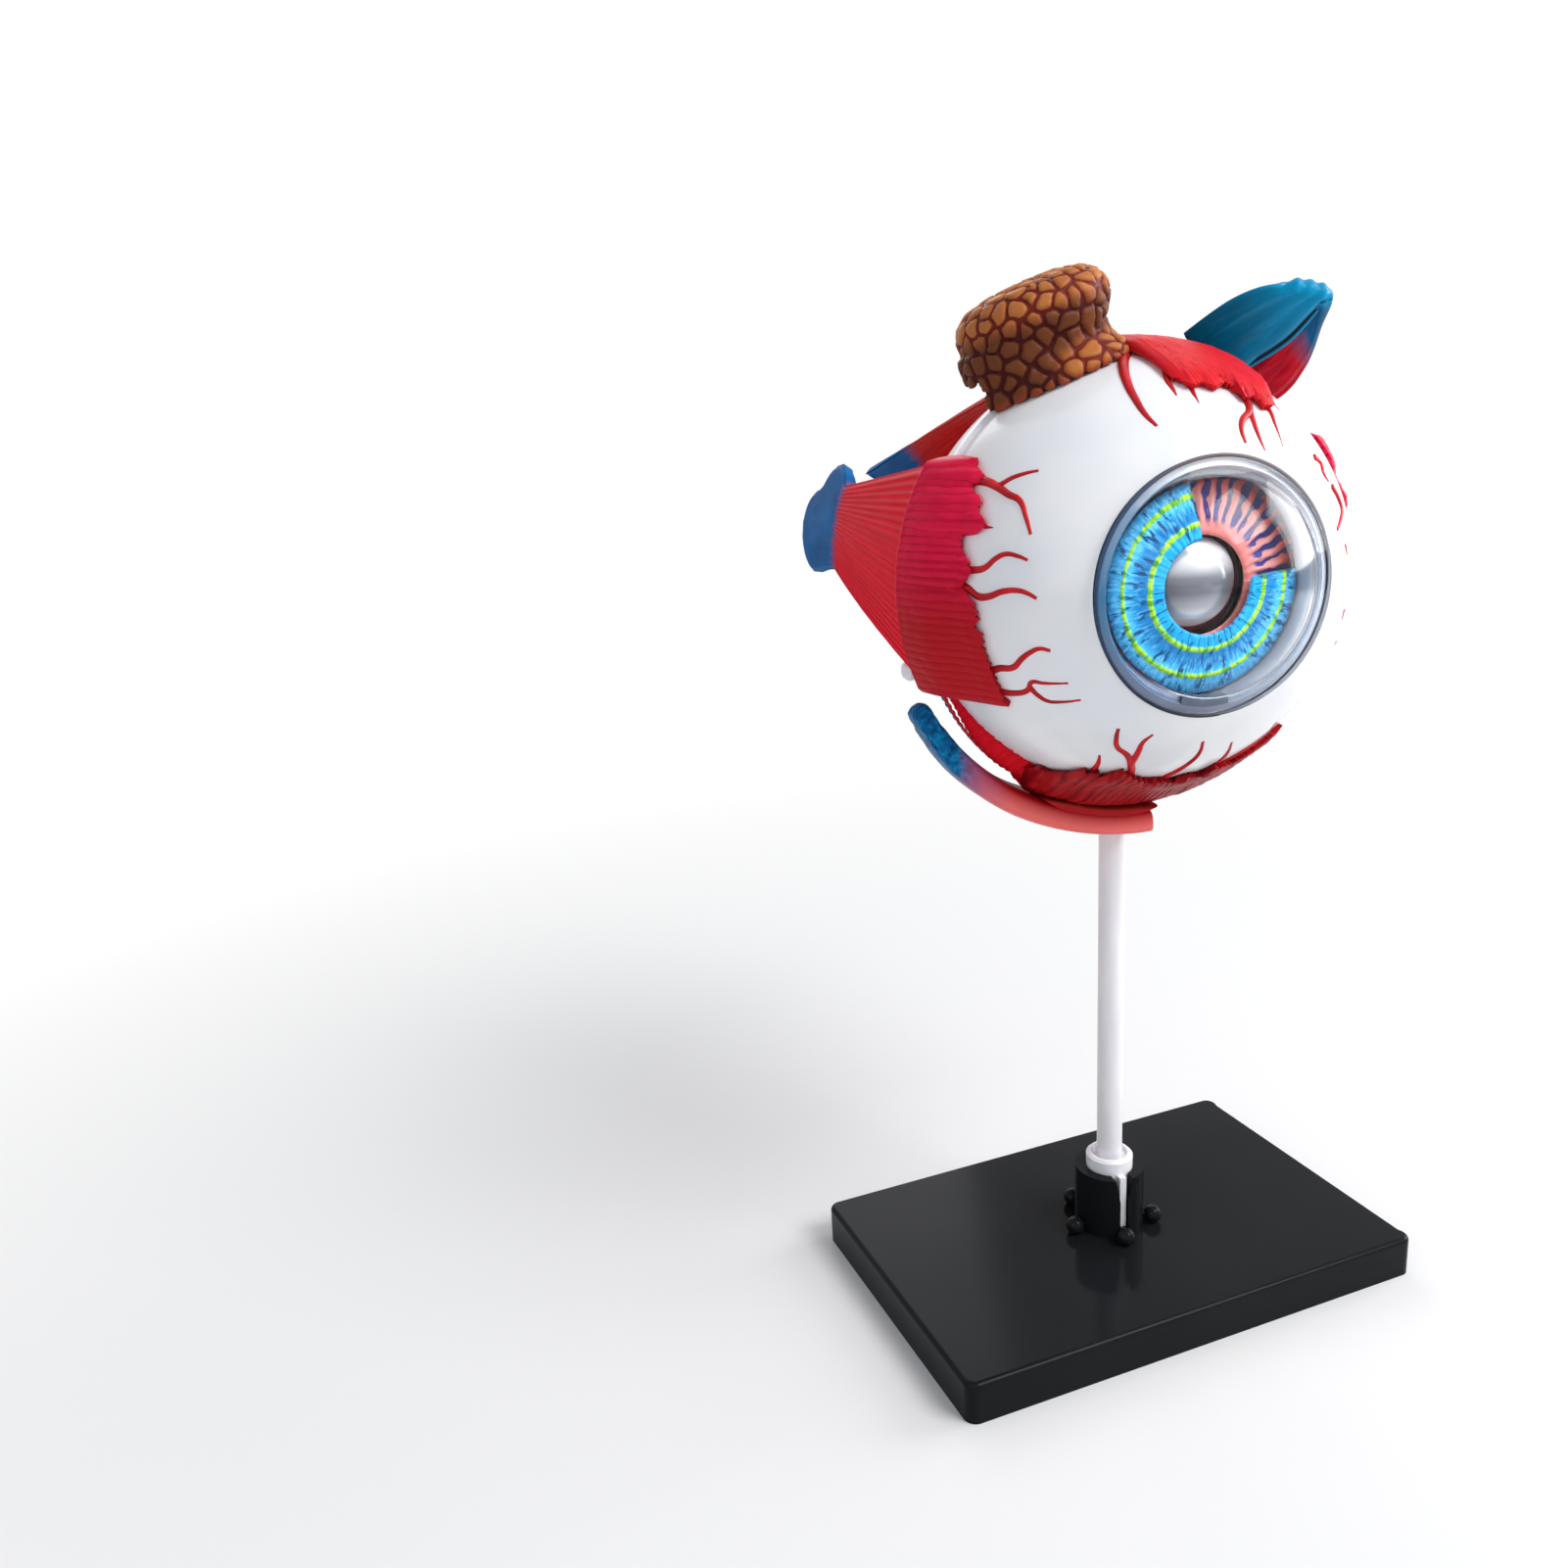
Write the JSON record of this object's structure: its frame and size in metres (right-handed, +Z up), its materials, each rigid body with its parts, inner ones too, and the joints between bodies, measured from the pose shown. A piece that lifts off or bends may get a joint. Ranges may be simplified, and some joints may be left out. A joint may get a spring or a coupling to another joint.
{
  "type": "eye anatomy model",
  "caption": "Take-apart teaching model of an eye on a rod and a black base: white shells, clear cornea, iris, lens, inner layers, red muscles, oblique strap, tear gland and optic nerve.",
  "frame": {"origin": "centre of the base plate's underside, on the support rod's axis", "axes": "+Z up along the support rod, X along the base plate's long side, -Y towards the front, where the eye looks, turned 7.2 degrees to -X"},
  "size_m": [0.08, 0.1082, 0.1548],
  "materials": {
    "base_plate": "gloss black",
    "rod_socket": "satin black",
    "support_rod": "glossy ivory white",
    "inferior_oblique": "salmon red, blue tip",
    "inferior_rectus": "red with fine fibres",
    "sclera_rear": "glossy white",
    "choroid": "dark red-brown",
    "retina": "orange-pink with vessels",
    "vitreous_body": "clear",
    "sclera_front": "glossy white with red vessels",
    "lateral_insertion": "dark red, ribbed",
    "medial_insertion": "dark red, ribbed",
    "superior_insertion": "red, ribbed",
    "inferior_insertion": "dark red, ribbed",
    "lens": "smoky silver",
    "ciliary_body": "pink with dark blue folds",
    "iris": "blue with green rings",
    "cornea": "clear",
    "lateral_rectus": "bright red, blue end",
    "medial_rectus": "bright red, blue end",
    "superior_rectus": "red, blue end",
    "superior_oblique": "teal blue, red foot",
    "optic_nerve_sheath": "cream",
    "optic_nerve": "yellow",
    "central_vessels": "red and blue",
    "lacrimal_gland": "tan cobbles on maroon"
  },
  "bodies": {
    "stand": {"base_plate": "base_plate", "rod_socket": "rod_socket"},
    "rod": {"support_rod": "support_rod"},
    "strap": {"inferior_oblique": "inferior_oblique"},
    "lower_muscle": {"inferior_rectus": "inferior_rectus"},
    "rear_shell": {"sclera_rear": "sclera_rear"},
    "choroid": {"choroid": "choroid"},
    "retina": {"retina": "retina"},
    "vitreous": {"vitreous_body": "vitreous_body"},
    "front_shell": {"sclera_front": "sclera_front", "lateral_insertion": "lateral_insertion", "medial_insertion": "medial_insertion", "superior_insertion": "superior_insertion", "inferior_insertion": "inferior_insertion"},
    "lens": {"lens": "lens"},
    "ciliary_body": {"ciliary_body": "ciliary_body"},
    "iris": {"iris": "iris"},
    "cornea": {"cornea": "cornea"},
    "lateral_muscle": {"lateral_rectus": "lateral_rectus"},
    "medial_muscle": {"medial_rectus": "medial_rectus"},
    "upper_muscle": {"superior_rectus": "superior_rectus"},
    "upper_oblique": {"superior_oblique": "superior_oblique"},
    "nerve": {"optic_nerve_sheath": "optic_nerve_sheath", "optic_nerve": "optic_nerve", "central_vessels": "central_vessels"},
    "gland": {"lacrimal_gland": "lacrimal_gland"}
  },
  "joints": [
    {"name": "rod_pull", "type": "slide", "parent": "stand", "child": "rod", "axis": [0, 0, 1], "range_m": [0, 0.018]},
    {"name": "eye_turn", "type": "hinge", "parent": "rod", "child": "strap", "pos_m": [0, 0, 0.0775], "axis": [0, 0, 1], "continuous": true},
    {"name": "lower_muscle_lift", "type": "slide", "parent": "strap", "child": "lower_muscle", "axis": [0, 0, 1], "range_m": [0, 0.012]},
    {"name": "eye_lift", "type": "slide", "parent": "lower_muscle", "child": "rear_shell", "axis": [0, 0, 1], "range_m": [0, 0.012]},
    {"name": "lateral_muscle_pull", "type": "slide", "parent": "rear_shell", "child": "lateral_muscle", "axis": [-0.9921, 0.1253, 0], "range_m": [0, 0.012]},
    {"name": "medial_muscle_pull", "type": "slide", "parent": "rear_shell", "child": "medial_muscle", "axis": [0.9921, -0.1253, 0], "range_m": [0, 0.012]},
    {"name": "upper_muscle_pull", "type": "slide", "parent": "rear_shell", "child": "upper_muscle", "axis": [0, 0, 1], "range_m": [0, 0.002]},
    {"name": "upper_oblique_pull", "type": "slide", "parent": "upper_muscle", "child": "upper_oblique", "axis": [0, 0, 1], "range_m": [0, 0.01]},
    {"name": "nerve_pull", "type": "slide", "parent": "rear_shell", "child": "nerve", "axis": [0.1253, 0.9921, 0], "range_m": [0, 0.012]},
    {"name": "choroid_out", "type": "slide", "parent": "rear_shell", "child": "choroid", "axis": [-0.1253, -0.9921, 0], "range_m": [0, 0.032]},
    {"name": "retina_out", "type": "slide", "parent": "choroid", "child": "retina", "axis": [-0.1253, -0.9921, 0], "range_m": [0, 0.03]},
    {"name": "vitreous_out", "type": "slide", "parent": "retina", "child": "vitreous", "axis": [-0.1253, -0.9921, 0], "range_m": [0, 0.028]},
    {"name": "front_shell_out", "type": "slide", "parent": "vitreous", "child": "front_shell", "axis": [-0.1253, -0.9921, 0], "range_m": [0, 0.03]},
    {"name": "lens_out", "type": "slide", "parent": "front_shell", "child": "lens", "axis": [-0.1253, -0.9921, 0], "range_m": [0, 0.012]},
    {"name": "ciliary_body_out", "type": "slide", "parent": "lens", "child": "ciliary_body", "axis": [-0.1253, -0.9921, 0], "range_m": [0, 0.01]},
    {"name": "iris_out", "type": "slide", "parent": "ciliary_body", "child": "iris", "axis": [-0.1253, -0.9921, 0], "range_m": [0, 0.008]},
    {"name": "cornea_out", "type": "slide", "parent": "iris", "child": "cornea", "axis": [-0.1253, -0.9921, 0], "range_m": [0, 0.014]},
    {"name": "gland_pull", "type": "slide", "parent": "front_shell", "child": "gland", "axis": [-0.3216, 0.1109, 0.9403], "range_m": [0, 0.01]}
  ]
}
